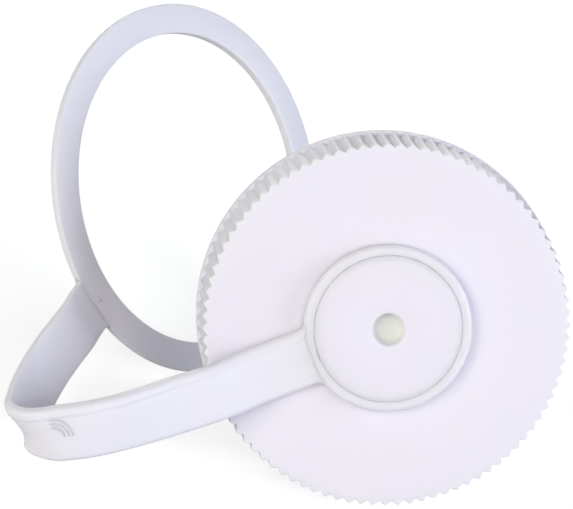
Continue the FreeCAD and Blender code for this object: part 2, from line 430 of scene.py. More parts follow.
@dataclass(frozen=True)
class MouldedPlastic:
    """White moulded plastic: slow drifts of tone and gloss, and a fine grain from the mould.

    Attributes:
        name: Name of the material.
        tone: Colour of most of the surface.
        drift: Colour that it drifts towards.
        shade: Colour of the painted shade in recesses, where the piece has any.
        gloss: Roughness where it is smoothest.
        dull: Roughness added where it is dullest.
        drift_size: Size of a patch of tone, in millimetres.
        drift_contrast: Steepness of a patch's edge.
        drift_cut: What is taken off a patch's share, so that most of the surface keeps its tone.
        smear_size: Size of a patch of gloss, in millimetres.
        grain_size: Size of the mould's grain, in millimetres.
        grain_depth: Depth of the mould's grain, in millimetres.
        ripple_size: Size of the slow ripples left by cooling, in millimetres.
        ripple_depth: Depth of those ripples, in millimetres.
        raggedness: How much of its strength a pattern keeps in each finer layer.
        refraction: Index of refraction of the plastic.
        glow: Share of the light that scatters inside the plastic.
        glow_reach: How far that light goes, in millimetres.
    """

    name: str
    tone: Colour
    drift: Colour
    shade: Colour = WHITE
    gloss: float = 0.36
    dull: float = 0.12
    drift_size: float = 22.0
    drift_contrast: float = 2.2
    drift_cut: float = 0.6
    smear_size: float = 7.7
    grain_size: float = 0.35
    grain_depth: float = 0.004
    ripple_size: float = 9.0
    ripple_depth: float = 0.012
    raggedness: float = 0.55
    refraction: float = 1.49
    glow: float = 0.5
    glow_reach: float = 2.5

    def noise(self, tree: NodeTree, place: bpy.types.NodeSocket, size: float, detail: float) -> Signal:
        """Noise whose patches have a size in millimetres.

        Args:
            tree: Nodes of the material.
            place: Place in the row frame, in metres.
            size: Size of a patch.
            detail: Number of finer layers.

        Returns:
            Share from 0 to 1.
        """
        scale = 1.0 / (size * MM)
        inputs = {"Vector": place, "Scale": scale, "Detail": detail, "Roughness": self.raggedness}
        return tree.signal("ShaderNodeTexNoise", {}, inputs, "Fac")

    def make(self, recess: PaintedShadeShare | None = None) -> bpy.types.Material:
        """Builds the material.

        Args:
            recess: Gives the share of the painted shade at a place, where the piece has recesses.

        Returns:
            The material.
        """
        tree = NodeTree(bpy.data.materials.new(self.name))
        place = tree.node("ShaderNodeTexCoord", {}, {}).outputs["Object"]
        patches = self.noise(tree, place, self.drift_size, detail=3.0)
        share = (patches * self.drift_contrast - self.drift_cut).held()
        colour = tree.mixed(solid(self.tone), solid(self.drift), share)
        # Painted shade: recesses are mixed towards the shade colour, by the given share.
        if recess is not None:
            colour = tree.mixed(colour, solid(self.shade), recess(tree, place))
        smears = self.noise(tree, place, self.smear_size, detail=4.0)
        grain = self.noise(tree, place, self.grain_size, detail=2.0)
        ripple = self.noise(tree, place, self.ripple_size, detail=1.0)
        relief = grain * (self.grain_depth * MM) + ripple * (self.ripple_depth * MM)
        bump = tree.node("ShaderNodeBump", {}, {"Height": relief, "Strength": 1.0, "Distance": 1.0})
        shader = tree.node("ShaderNodeBsdfPrincipled", {}, {
            "Base Color": colour,
            "Roughness": self.gloss + self.dull * smears,
            "Normal": bump.outputs["Normal"],
            "IOR": self.refraction,
            "Subsurface Weight": self.glow,
            "Subsurface Radius": WHITE,
            "Subsurface Scale": self.glow_reach * MM,
        })
        tree.node("ShaderNodeOutputMaterial", {}, {"Surface": shader.outputs["BSDF"]})
        return tree.owner


# Cap


@dataclass
class ScrewCap:
    """The cap: plate, skirt with grip teeth, bead, button, bore and thread.

    Sizes are in millimetres, save for shares: the softness of crests and roots, the draft at the
    middle of the skirt, and the crest, fade and ends of the thread. A name with columns, rows or
    ring is about the grid's own points, and one with rate is a change of share a millimetre.
    """

    # Plate and skirt
    height: float = 15.0
    plate: float = 2.4
    top_edge: float = 0.3
    plate_ring: float = 20.0
    skirt_wall: float = 2.6
    bore_corner: float = 1.0
    mouth_chamfer: float = 0.5
    mouth_round: float = 0.2
    # Grip teeth, which spread towards the bead by their draft
    grip_radius: float = 35.1
    tooth_count: int = 92
    tooth_columns: tuple[float, ...] = (-0.5, -0.465, -0.2, -0.07, -0.02, 0.02, 0.07, 0.2, 0.465)
    tooth_depth: float = 0.9
    tooth_land: float = 0.16
    crest_softness: float = 0.08
    root_softness: float = 0.05
    tooth_draft: float = 0.9
    draft_at_middle: float = 0.4
    cut_reach: float = 2.2
    cut_fade: float = 1.6
    # Bead and the ledge above it
    bead_overhang: float = 1.0
    bead_top: float = 2.2
    bead_round: float = 0.2
    bead_foot: float = 0.4
    ledge_line: float = 0.02
    ledge_fall: float = 0.3
    # Button and its blind hole
    post_radius: float = 13.2
    post_foot: float = 0.12
    flange_overhang: float = 0.8
    flange_spread: float = 0.08
    flange_thickness: float = 1.1
    flange_edge: float = 0.1
    button_rise: float = 3.0
    button_ring: float = 8.0
    button_slope: float = 0.4
    button_edge: float = 0.22
    button_ramp: float = 1.1
    button_bend: float = 2.2
    hole_radius: float = 3.05
    hole_depth: float = 2.2
    hole_round: float = 0.45
    hole_floor_round: float = 1.1
    # Underside: sealing rib and the core behind the button
    seal_inset: float = 2.0
    seal_width: float = 1.6
    seal_rise: float = 0.9
    seal_foot: float = 0.2
    seal_tip: float = 0.3
    core_wall: float = 2.4
    core_depth: float = 2.4
    core_edge: float = 0.3
    core_corner: float = 0.4
    axis_ring: float = 0.3
    # Thread
    thread_rows: int = 400
    thread_pitch: float = 4.2
    thread_turns: float = 1.75
    thread_height: float = 1.25
    thread_width: float = 1.9
    thread_crest: float = 0.42
    thread_round: float = 0.25
    thread_start: float = 2.2
    thread_fade: float = 0.12
    thread_foot: float = 0.4
    thread_proud: float = 0.01
    thread_end_height: float = 0.02
    thread_end_width: float = 0.35
    # Painted shade in the feet of the grooves and down the blind hole
    recess_lip: float = 0.1
    groove_margin: float = 0.4
    groove_top: float = 0.15
    groove_rate: float = 4.0
    ledge_rate: float = 3.0
    hole_top: float = 0.3
    hole_rate: float = 5.0
    hole_fade_rate: float = 0.6
    # Its shade colour is painted shade, greenish grey, for the grooves' feet and the blind hole.
    plastic: MouldedPlastic = MouldedPlastic(
        "cap_white", tone=(0.84, 0.82, 0.92), drift=(0.86, 0.83, 0.9), shade=(0.78, 0.79, 0.75)
    )

    @property
    def bore(self) -> float:
        """Radius of the bore, at the root of its thread."""
        return self.grip_radius - self.tooth_depth - self.skirt_wall

    @property
    def flange_radius(self) -> float:
        """Outer radius of the button's flange, drawn a hair wide so that its round closes the gap."""
        return self.post_radius + self.flange_overhang + self.flange_spread

    @property
    def button_top(self) -> float:
        """Height of the button's face."""
        return self.height + self.button_rise

    @property
    def tooth_pitch(self) -> float:
        """Angle from one crest to the next, in radians."""
        return FULL_TURN / self.tooth_count

    @property
    def hinge_height(self) -> float:
        """Height of the middle of the post that the strap turns on."""
        return self.height + (self.button_rise - self.flange_thickness) / 2

    def outline(self) -> Points:
        """Half section of the cap, from the floor of the blind hole out, down and in again.

        Returns:
            Radius and height of each point.
        """
        top, flange = self.button_top, self.flange_radius
        hole_floor = top - self.hole_depth
        flange_foot = top - self.flange_thickness
        drafted = self.grip_radius + self.tooth_draft
        drafted_middle = self.grip_radius + self.tooth_draft * self.draft_at_middle
        bead = self.grip_radius + self.bead_overhang
        ceiling = self.height - self.plate
        seal, half_seal = self.bore - self.seal_inset, self.seal_width / 2
        core_top = ceiling + self.core_depth
        core_outside, core_inside = self.post_radius - self.core_wall, self.hole_radius + self.core_wall
        corners = [
            (self.axis_ring, hole_floor, 0.0),
            (self.hole_radius, hole_floor, self.hole_floor_round),
            (self.hole_radius, top, self.hole_round),
            (self.button_ring, top, 0.0),
            (flange - self.button_ramp, top, self.button_bend),
            (flange, top - self.button_slope, self.button_edge),
            (flange, flange_foot, self.flange_edge),
            (self.post_radius, flange_foot, self.flange_edge),
            (self.post_radius, self.height, self.post_foot),
            (self.plate_ring, self.height, 0.0),
            (self.grip_radius - self.cut_reach, self.height, 0.0),
            (self.grip_radius, self.height, self.top_edge),
            (drafted_middle, self.height / 2, 0.0),
            (drafted, self.bead_top, 0.0),
            (drafted, self.bead_top - self.ledge_line, 0.0),
            (bead, self.bead_top - self.ledge_fall, self.bead_round),
            (bead, 0.0, self.bead_foot),
            (self.bore + self.mouth_chamfer, 0.0, self.mouth_round),
            (self.bore, self.mouth_chamfer, self.mouth_round),
            (self.bore, ceiling, self.bore_corner),
            (seal + half_seal, ceiling, self.seal_foot),
            (seal, ceiling - self.seal_rise, self.seal_tip),
            (seal - half_seal, ceiling, self.seal_foot),
            (core_outside, ceiling, self.core_edge),
            (core_outside, core_top, self.core_corner),
            (core_inside, core_top, self.core_corner),
            (core_inside, ceiling, self.core_edge),
            (self.axis_ring, ceiling, 0.0),
        ]
        return rounded(corners, closed=False, steps=4)

    def tooth_angles(self) -> Points:
        """Angles of the columns: nine to a tooth, closer together at its crest and its foot.

        Returns:
            Angles in radians.
        """
        shares = np.array(self.tooth_columns)
        return (np.arange(self.tooth_count)[:, None] + shares).ravel() * self.tooth_pitch

    def tooth_cut(self, angles: Points) -> Points:
        """Depth of the grip below its crests, from 0 to 1.

        The way t from a crest's land to the foot of the groove is straight, less two soft corners:
        root of (t squared + s squared), less s, lifts it off at the crest, and the same form of
        1 - t lifts it off at the foot.

        Args:
            angles: Angles of the columns, in radians.

        Returns:
            Depth at each angle.
        """
        from_crest = np.abs((angles / self.tooth_pitch + 0.5) % 1.0 - 0.5)
        land = self.tooth_land / (2.0 * self.tooth_pitch * self.grip_radius)
        t = np.clip((from_crest - land) / (0.5 - land), 0.0, 1.0)
        crest = np.sqrt(t**2 + self.crest_softness**2) - self.crest_softness
        foot = 1.0 - (np.sqrt((1.0 - t) ** 2 + self.root_softness**2) - self.root_softness)
        return crest + foot - t

    def shell(self) -> Points:
        """Grid of the whole cap: its outline turned about the axis, less the cut of the grip.

        The cut counts fully on the skirt, fades to nothing over the last stretch of the top face
        and stops at the bead's ledge, towards which the whole skirt spreads by its draft.

        Returns:
            Rows by columns by 3.
        """
        outline = self.outline()
        angles = self.tooth_angles()
        radius, height = outline[:, 0], outline[:, 1]
        on_skirt = height > self.bead_top - self.ledge_line / 2
        weight = np.clip((radius - self.grip_radius + self.cut_reach) / self.cut_fade, 0.0, 1.0) * on_skirt
        cut = (weight * self.tooth_depth)[:, None] * self.tooth_cut(angles)
        return cylindrical(radius[:, None] - cut, angles, height[:, None])

    def thread(self) -> Points:
        """Grid of the thread's ridge: a trapezoid carried along a helix that fades at both ends.

        Height rises by the pitch for each turn. At each end the ridge grows, over a share of its
        length, from a trace to its full height and width. Its foot lies inside the bore's wall.

        Returns:
            Rows by columns by 3.
        """
        share = np.linspace(0.0, 1.0, self.thread_rows)
        angles = share * self.thread_turns * FULL_TURN
        rise = self.thread_start + share * self.thread_turns * self.thread_pitch
        grown = blend(share / self.thread_fade) * blend((1.0 - share) / self.thread_fade)
        half = self.thread_width / 2
        section = rounded([
            (self.thread_foot, -half, 0.0),
            (0.0, -half, 0.0),
            (-self.thread_height, -half * self.thread_crest, self.thread_round),
            (-self.thread_height, half * self.thread_crest, self.thread_round),
            (0.0, half, 0.0),
            (self.thread_foot, half, 0.0),
        ], closed=True)
        across, along = section[:, 0], section[:, 1]
        taller = self.thread_end_height + (1.0 - self.thread_end_height) * grown[:, None]
        wider = self.thread_end_width + (1.0 - self.thread_end_width) * grown[:, None]
        radius = self.bore - self.thread_proud + np.where(across < 0.0, across * taller, across)
        return cylindrical(radius, angles[:, None], rise[:, None] + along * wider)

    def painted_shade_mask(self, attitude: Attitude) -> PaintedShadeShare:
        """Share of the painted shade: full in the feet of the grooves and down the blind hole.

        Args:
            attitude: How the cap lies, so that a Mapping node can bring its axis back to Z.

        Returns:
            Function that adds the nodes and gives the share.
        """
        turn = Matrix(attitude.rotation()).transposed().to_euler("XYZ")
        origin = attitude.rotation().T @ attitude.origin()

        def mask(tree: NodeTree, place: bpy.types.NodeSocket) -> Signal:
            """Adds the nodes: a share is a product of ramps over the radius and the height.

            Args:
                tree: Nodes of the material.
                place: Place in the row frame, in metres.

            Returns:
                Share from 0 to 1.
            """
            inputs = {"Vector": place, "Rotation": tuple(turn), "Location": tuple(-origin)}
            local = tree.node("ShaderNodeMapping", {"vector_type": "POINT"}, inputs).outputs["Vector"]
            parts = tree.node("ShaderNodeSeparateXYZ", {}, {"Vector": local})
            across, aside, up = (Signal(tree, parts.outputs[axis]) for axis in "XYZ")
            radius = (across * across + aside * aside).root() / MM
            height = up / MM
            groove_foot = self.grip_radius - self.tooth_depth
            groove = radius.below(self.grip_radius - self.recess_lip, 1.0 / self.tooth_depth)
            groove = groove * radius.above(groove_foot - self.groove_margin, self.groove_rate)
            groove = groove * height.below(self.height - self.groove_top, self.ledge_rate)
            groove = groove * height.above(self.bead_top, self.ledge_rate)
            hole = radius.below(self.hole_radius + self.recess_lip, self.hole_rate)
            hole = hole * height.below(self.button_top - self.hole_top, self.hole_fade_rate)
            hole = hole * height.above(self.height, self.hole_rate)
            return (groove + hole).held()

        return mask

    def build(self, workshop: Workshop) -> None:
        """Makes the cap and its thread.

        Args:
            workshop: Makes the pieces and lays them down.
        """
        # The finish darkens the grooves' feet and the blind hole with painted shade.
        finish = self.plastic.make(self.painted_shade_mask(workshop.attitude))
        shell = workshop.piece("cap_shell", self.shell(), Ends.CAPPED, Body.CAP, finish)
        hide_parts("screw_cap")
        workshop.piece("neck_thread_ridge", self.thread(), Ends.CAPPED, Body.CAP, finish)


# Strap


@dataclass(frozen=True)
class Stretch:
    """Curved stretch of the band.

    Attributes:
        run: Its length, in millimetres.
        bend: Turn over its length about the way across the band, in degrees.
        sway: Turn in the plane of the band, in degrees.
        twist: Turn about the way along the band, in degrees.
    """

    run: float
    bend: float
    sway: float
    twist: float

    def ways(self, share: Points) -> tuple[Points, Points]:
        """Shifts and rotations from the start of the stretch.

        The stretch turns evenly about one axis k by an angle a, so with d the run's direction the
        shift is k (k.d) run + (d - k (k.d)) run sin(a) / a + k x d run (1 - cos(a)) / a, and the
        rotation is I + sin(a) K + (1 - cos(a)) K K, with K the cross product by k.

        Args:
            share: Shares of the stretch, from 0 to 1.

        Returns:
            Shifts, one row each, and rotation matrices.
        """
        turn = np.radians([self.bend, -self.sway, self.twist])
        whole = float(np.linalg.norm(turn))
        axis = turn / whole
        ahead = np.array([0.0, 0.0, 1.0])
        level = axis * axis[2]
        swept = ahead - level
        angle = (share * whole)[:, None]
        radius = self.run / whole
        shift = level * (self.run * share)[:, None] + swept * radius * np.sin(angle)
        shift = shift + np.cross(axis, swept) * radius * (1.0 - np.cos(angle))
        x, y, z = axis
        cross = np.array([[0.0, -z, y], [z, 0.0, -x], [-y, x, 0.0]])
        sines, cosines = np.sin(angle)[..., None], np.cos(angle)[..., None]
        return shift, np.eye(3) + sines * cross + (1.0 - cosines) * (cross @ cross)


@dataclass(frozen=True)
class BandColumns:
    """Points round the band's section, as factors of the sizes that change along it.

    Attributes:
        side: Place across, from -1 to 1, as a share of the half width less the inset.
        inset: Factors of the foot's round, the shoulder and the rim's width, for the inset.
        level: Factors of the foot's round, the thickness, the shoulder and the rim's height.
    """

    side: Points
    inset: Points
    level: Points

    @classmethod
    def made(cls, flats: int = 13, feet: int = 3, steps: int = 7, rims: int = 9) -> BandColumns:
        """Section in order: underside, plain edge, top, rimmed edge.

        The rim stands between the top and the rimmed edge's shoulder. At a share u of its width
        from the shoulder, its height is the sine of a full turn times u, times 1 less u / 2: a
        crest beside the shoulder, then a shallow valley.

        Args:
            flats: Points across the underside and across the top.
            feet: Points round a foot, less the one that the underside has.
            steps: Points round a shoulder, less the one that the top has.
            rims: Points across the rim, with the one that the top has.

        Returns:
            The columns.
        """
        flat = np.linspace(-1.0, 1.0, flats)
        foot = np.linspace(0.0, math.pi / 2, feet + 1)[1:]
        shoulder = np.linspace(0.0, math.pi / 2, steps + 1)[:-1]
        rim = np.linspace(1.0, 0.0, rims)[1:]
        wave = np.sin(FULL_TURN * rim) * (1.0 - rim / 2)

        def part(side: Points | float, inset: tuple, level: tuple) -> Points:
            """Columns of one part: the side, then the factors of its inset and of its level."""
            return np.stack(np.broadcast_arrays(side, *inset, *level), axis=-1).astype(float)

        edge = part(1.0, (1.0 - np.sin(foot), 0.0, 0.0), (1.0 - np.cos(foot), 0.0, 0.0, 0.0))
        soft = part(1.0, (0.0, 1.0 - np.cos(shoulder), 0.0), (0.0, 1.0, np.sin(shoulder) - 1.0, 0.0))
        mirror = np.array([-1.0, 1.0, 1.0, 1.0, 1.0, 1.0, 1.0, 1.0])
        table = np.concatenate([
            part(flat, (1.0, 0.0, 0.0), (0.0, 0.0, 0.0, 0.0)),
            edge,
            soft,
            part(-flat, (0.0, 1.0, (1.0 + flat) / 2), (0.0, 1.0, 0.0, 0.0)),
            part(-1.0, (0.0, 1.0, rim), (0.0, 1.0, 0.0, wave)),
            soft[::-1] * mirror,
            edge[::-1] * mirror,
        ])
        return cls(table[:, 0], table[:, 1:4], table[:, 4:])


@dataclass
class LoopStrap:
    """The strap: hub ring, folded band and neck ring.

    Sizes are in millimetres. A name with columns or rows counts the points of a grid, and
    fold_stretch is the place of the sharp fold among the stretches, counted from 0.
    """

    cap: ScrewCap
    # Hub ring
    running_gap: float = 0.3
    seat_gap: float = 0.25
    hub_wall: float = 1.7
    hub_rise: float = 2.45
    hub_round: float = 0.9
    hub_foot: float = 0.1
    hub_lip: float = 0.3
    hub_lip_gap: float = 0.012
    hub_step_edge: float = 0.08
    hub_columns: int = 288
    # Band
    band_width: float = 10.8
    band_thickness: float = 2.0
    band_shoulder: float = 1.1
    band_foot: float = 0.12
    rim_width: float = 1.3
    rim_height: float = 0.13
    row_step: float = 0.5
    ring_overlap: float = 1.0
    # Where the band grows out of the hub ring
    root_fillet: float = 2.0
    root_run: float = 2.0
    root_sink: float = 0.03
    root_fan_rows: int = 15
    root_rows: int = 7
    merge_start: float = 1.4
    merge_run: float = 2.0
    # Where it ends in the neck ring: the merge and the sink are shares
    end_run: float = 10.6
    end_fillet: float = 0.9
    end_fan_rows: int = 9
    end_rows: int = 12
    end_merge: float = 0.35
    end_sink: float = 0.012
    # Neck ring
    ring_gap: float = 0.7
    ring_width: float = 6.1
    ring_round: float = 0.9
    ring_edge: float = 0.25
    ring_foot: float = 0.1
    ring_columns: int = 420
    # Cup of the fold, ease of the leg past it, and set and lean of the leg before it
    fold_stretch: int = 3
    cup_plain_edge: float = 2.4
    cup_rimmed_edge: float = 0.4
    cup_reach: float = 3.1
    cup_past_fold: float = 2.8
    ease: float = -1.3
    ease_reach: float = 14.8
    ease_past_fold: float = 22.4
    ease_fade: float = 6.0
    set_back: float = -0.53
    lean_back: float = -0.59
    lean_start: float = 14.5
    lean_stop: float = 58.0
    lean_fade: float = 12.0
    # Mould mark: arcs between two angles in degrees, blunt by a power down to a share at their tips
    mark_run: float = 49.0
    mark_radii: tuple[float, ...] = (1.7, 2.5, 3.3)
    mark_start: float = -15.0
    mark_stop: float = 95.0
    mark_width: float = 0.34
    mark_height: float = 0.14
    mark_bluntness: int = 8
    mark_tip: float = 0.02
    mark_rows: int = 25
    mark_columns: int = 12
    # Gate nub, whose first row is a share of its radius
    nub_from_centre: float = 36.6
    nub_radius: float = 0.5
    nub_rise: float = 0.32
    nub_sink: float = 0.03
    nub_root: float = 0.3
    nub_first_row: float = 0.02
    nub_rows: int = 7
    nub_columns: int = 20
    # Route of the band from the hub ring on
    stretches: tuple[Stretch, ...] = (
        Stretch(run=13.0, bend=-24.0, sway=1.5, twist=-1.0),
        Stretch(run=22.5, bend=4.0, sway=6.5, twist=-17.0),
        Stretch(run=13.5, bend=31.0, sway=-1.5, twist=0.0),
        Stretch(run=11.0, bend=86.5, sway=-9.0, twist=-32.0),
        Stretch(run=21.5, bend=30.0, sway=-9.0, twist=3.0),
    )
    columns: BandColumns = field(default_factory=BandColumns.made)
    plastic: MouldedPlastic = MouldedPlastic(
        "strap_white", tone=(0.83, 0.82, 0.905), drift=(0.85, 0.83, 0.885)
    )

    @property
    def seat(self) -> float:
        """Height of the hub ring's underside."""
        return self.cap.height + self.seat_gap

    @property
    def hub_radius(self) -> float:
        """Outer radius of the hub ring."""
        return self.cap.post_radius + self.cap.flange_overhang + self.running_gap + self.hub_wall

    @property
    def neck_bore(self) -> float:
        """Radius of the neck ring's bore."""
        return self.cap.bore + self.ring_gap

    @property
    def ring_radius(self) -> float:
        """Outer radius of the neck ring."""
        return self.neck_bore + self.ring_width

    @property
    def run_length(self) -> float:
        """Length of the whole route."""
        return sum(stretch.run for stretch in self.stretches)

    @property
    def fold_run(self) -> float:
        """Length run at the middle of the sharp fold."""
        before = sum(stretch.run for stretch in self.stretches[: self.fold_stretch])
        return before + self.stretches[self.fold_stretch].run / 2

    def hub_ring(self) -> Points:
        """Grid of the hub ring, whose bore has a step for the flange of the button.

        Returns:
            Rows by columns by 3.
        """
        step_bore = self.cap.flange_radius + self.hub_lip_gap
        bore = self.cap.post_radius + self.running_gap
        step = self.cap.button_top - self.cap.flange_thickness - self.seat_gap
        top = self.seat + self.hub_rise
        outline = rounded([
            (bore, self.seat, self.hub_foot),
            (self.hub_radius, self.seat, self.hub_foot),
            (self.hub_radius, top, self.hub_round),
            (step_bore, top, self.hub_lip),
            (step_bore, step, self.hub_step_edge),
            (bore, step, self.hub_step_edge),
        ], closed=True, steps=6)
        return turned(outline, self.hub_columns)

    def route(self) -> tuple[Points, Points]:
        """Places and rotations of the band's section, about every half millimetre of its run.

        A rotation's columns are the way across the band, the way out of its upper face and the way
        along it. Each stretch starts where the one before ends.

        Returns:
            Places, one row each, and rotation matrices.
        """
        height = self.seat + self.band_thickness / 2
        place = np.array([self.hub_radius + self.root_run, 0.0, height])
        turn = np.array([[0.0, 0.0, 1.0], [1.0, 0.0, 0.0], [0.0, 1.0, 0.0]])
        places, turns = [place[None, :]], [turn[None, :, :]]
        for stretch in self.stretches:
            steps = math.ceil(stretch.run / self.row_step)
            shifts, rotations = stretch.ways(np.arange(1, steps + 1) / steps)
            places.append(place + shifts @ turn.T)
            turns.append(turn @ rotations)
            place, turn = places[-1][-1], turns[-1][-1]
        return np.concatenate(places), np.concatenate(turns)

    def ring_place(self) -> tuple[Points, Points]:
        """Middle of the neck ring, and how it lies: as the route's last row does.

        Returns:
            The middle, and a rotation matrix with the columns that a route's row has.
        """
        places, turns = self.route()
        turn = turns[-1]
        return places[-1] + turn[:, 2] * (self.end_run + self.ring_radius), turn

    def fillet_start(self, ring: float, fillet: float) -> float:
        """Distance from a ring's centre, along the band, at which its fillets leave the edges."""
        return math.sqrt((ring + fillet) ** 2 - (self.band_width / 2 + fillet) ** 2)

    def beside_ring(
        self, ring: float, fillet: float, straight: Points, ways: Points, inset: Points
    ) -> tuple[Points, Points]:
        """Plan of the rows up to a ring, which then widen into it with a fillet at each corner.

        A fillet's centre stands clear of the ring and of the band's edge by its radius f. A point
        inset by i lies f + i from that centre, so at the ring's end it is inset from the ring too.
        The widening rows bulge towards the ring's middle by a share of 1 less side squared.

        Args:
            ring: Outer radius of the ring.
            fillet: Radius of the fillets.
            straight: Distance from the ring's centre of each straight row, the furthest first.
            ways: Share of the way from the band's edge to the ring, for each widening row.
            inset: Inset for each row and column.

        Returns:
            Distance from the ring's centre along the band, and place across.
        """
        side, count = self.columns.side, len(straight)
        aside, ahead = self.band_width / 2 + fillet, self.fillet_start(ring, fillet)
        at_ring = math.atan2(-aside, -ahead)
        angle = (-math.pi / 2 + ways * (at_ring + math.pi / 2))[:, None]
        reach = fillet + inset[count:]
        crown = ring - self.ring_overlap - (ahead + fillet * math.cos(at_ring))
        along = ahead + reach * np.cos(angle) + crown * ways[:, None] * (1.0 - side**2)
        across = (aside + reach * np.sin(angle)) * side
        level = np.repeat(straight[:, None], len(side), axis=1)
        edge = side * (self.band_width / 2 - inset[:count])
        return np.concatenate([level, along]), np.concatenate([edge, across])

    def section(self, near: Points, top: float, shoulder: float) -> tuple[Points, Points]:
        """Insets and heights of the band's section.

        Args:
            near: 0 where the band runs free and 1 where it has become part of a ring.
            top: Height that the section has in the ring.
            shoulder: Round of the shoulder in the ring.

        Returns:
            Inset from the edge and height above the underside, for each row and column.
        """
        inset, level = self.columns.inset, self.columns.level
        thick = self.band_thickness + (top - self.band_thickness) * near
        soft = self.band_shoulder + (shoulder - self.band_shoulder) * near
        rim = 1.0 - near
        inward = inset[:, 0] * self.band_foot + inset[:, 1] * soft + inset[:, 2] * self.rim_width * rim
        upward = level[:, 0] * self.band_foot + level[:, 1] * thick + level[:, 2] * soft
        return inward, upward + level[:, 3] * self.rim_height * rim

    def fold_shape(self, run: Points, side: Points) -> Points:
        """How far the band's surface stands out of its route.

        A sharp fold cups: its edges stand out from its middle by the cup times the square of the
        place across, falling off as a bell curve along the run. Past the fold the leg lies a
        little flatter than the route, by another bell curve. Before it the leg stands a little
        back, its rimmed edge more than its plain one, between two smooth steps.

        Args:
            run: Length run at each point, which goes on past the route up to the neck ring.
            side: Place across, from -1 to 1, at each point.

        Returns:
            Shift out of the upper face, level with the floor.
        """
        fold = self.fold_run
        cup = np.where(side > 0.0, self.cup_plain_edge, self.cup_rimmed_edge) * side**2
        bell = np.exp(-(((run - fold - self.cup_past_fold) / self.cup_reach) ** 2))
        eased = np.exp(-(((run - fold - self.ease_past_fold) / self.ease_reach) ** 2))
        left = self.run_length + self.end_run - run
        begun = blend((run - self.lean_start) / self.lean_fade)
        led = begun * blend((self.lean_stop - run) / self.lean_fade)
        lean = (self.set_back + self.lean_back * (1.0 - side) / 2) * led
        return (bell * cup + self.ease * eased) * blend(left / self.ease_fade) + lean

    def root(self) -> Points:
        """Rows from inside the hub ring to the start of the run, seen along the cap's axis.

        The band widens into the ring with a fillet at each corner. At the ring's edge its section
        rises to the ring's height, less a hair, so that the ring's top covers it.

        Returns:
            Rows by columns by 3.
        """
        begun = self.fillet_start(self.hub_radius, self.root_fillet)
        straight = np.linspace(self.hub_radius + self.root_run, begun, self.root_rows)[1:-1]
        ways = np.linspace(0.0, 1.0, self.root_fan_rows)
        no_inset = np.zeros((len(straight) + len(ways), len(self.columns.side)))
        rows, spread = self.beside_ring(self.hub_radius, self.root_fillet, straight, ways, no_inset)
        near = blend((self.hub_radius + self.merge_start - np.hypot(rows, spread)) / self.merge_run)
        inset, level = self.section(near, self.hub_rise - self.root_sink, self.hub_round)
        rows, spread = self.beside_ring(self.hub_radius, self.root_fillet, straight, ways, inset)
        return np.stack([rows, spread, self.seat + level], axis=-1)[::-1]

    def on_route(self, run: Points, side: Points, spread: Points, lifted: Points, up: Points) -> Points:
        """Places on the band as it lies folded.

        The way across and the way out at a length run are read off the route between its rows.
        The fold's own shift keeps level with the floor that the fold stands on: the upward part is
        taken out of the way out.

        Args:
            run: Length run at each point.
            side: Place across, from -1 to 1, for the fold's shape.
            spread: Place across in millimetres.
            lifted: Height above the middle of the band's thickness.
            up: Upward direction of the floor, in the cap's own frame.

        Returns:
            Places, shaped as the given arrays are.
        """
        places, turns = self.route()
        rows = np.concatenate([[0.0], np.cumsum(np.linalg.norm(np.diff(places, axis=0), axis=1))])
        rows *= self.run_length / rows[-1]
        table = np.concatenate([places, turns[:, :, 0], turns[:, :, 1]], axis=1)
        read = np.stack([np.interp(run, rows, column) for column in table.T], axis=-1)
        place, across, out = read[..., :3], read[..., 3:6], read[..., 6:]
        sideways = out - (out @ up)[..., None] * up
        shape = self.fold_shape(run, side)
        return place + spread[..., None] * across + lifted[..., None] * out + shape[..., None] * sideways

    def run(self, up: Points) -> Points:
        """Rows along the route, every half millimetre.

        Args:
            up: Upward direction of the floor, in the cap's own frame.

        Returns:
            Rows by columns by 3.
        """
        side = self.columns.side
        count = round(self.run_length / self.row_step) + 1
        rows = np.linspace(0.0, self.run_length, count)[:, None] + 0.0 * side
        inset, level = self.section(0.0 * rows, 0.0, 0.0)
        spread = side * (self.band_width / 2 - inset)
        return self.on_route(rows, side + 0.0 * rows, spread, level - self.band_thickness / 2, up)

    def mark_ridge(self, radius: float, up: Points) -> Points:
        """Grid of one arc of the mould mark, a low round ridge bent along a circle on the band.

        At a share t of the arc its width and height are those of the ridge times the root of 1
        less a high power of 2 t - 1, so that both its ends are blunt.

        Args:
            radius: Radius of the arc, about the mark's centre.
            up: Upward direction of the floor, in the cap's own frame.

        Returns:
            Rows by columns by 3.
        """
        ways = np.linspace(0.0, 1.0, self.mark_rows)[:, None]
        angle = np.radians(self.mark_start + (self.mark_stop - self.mark_start) * ways)
        around = np.linspace(0.0, FULL_TURN, self.mark_columns, endpoint=False)
        grown = np.sqrt(np.clip(1.0 - (2.0 * ways - 1.0) ** self.mark_bluntness, self.mark_tip, 1.0))
        reach = radius + self.mark_width / 2 * grown * np.cos(around)
        lifted = self.band_thickness / 2 + self.mark_height * grown * np.sin(around)
        run = self.mark_run - reach * np.sin(angle)
        spread = -reach * np.cos(angle)
        return self.on_route(run, spread / (self.band_width / 2 - self.band_shoulder), spread, lifted, up)

    def gate_nub(self) -> Points:
        """Grid of the nub left where the plastic came in, a low dome on the underside at the end.

        Its height falls with the square of the distance from its middle.

        Returns:
            Rows by columns by 3.
        """
        share = np.linspace(self.nub_first_row, 1.0, self.nub_rows)
        rise = self.nub_rise * (1.0 - share**2) - self.nub_sink
        outline = np.stack([self.nub_radius * share, rise], axis=1)
        outline = np.concatenate([outline, [[self.nub_radius / 2, -self.nub_root]]])
        centre, turn = self.ring_place()
        foot = centre - turn[:, 2] * self.nub_from_centre - turn[:, 1] * self.band_thickness / 2
        dome = turned(outline, self.nub_columns)
        return foot + dome @ np.array([turn[:, 0], turn[:, 2], -turn[:, 1]])

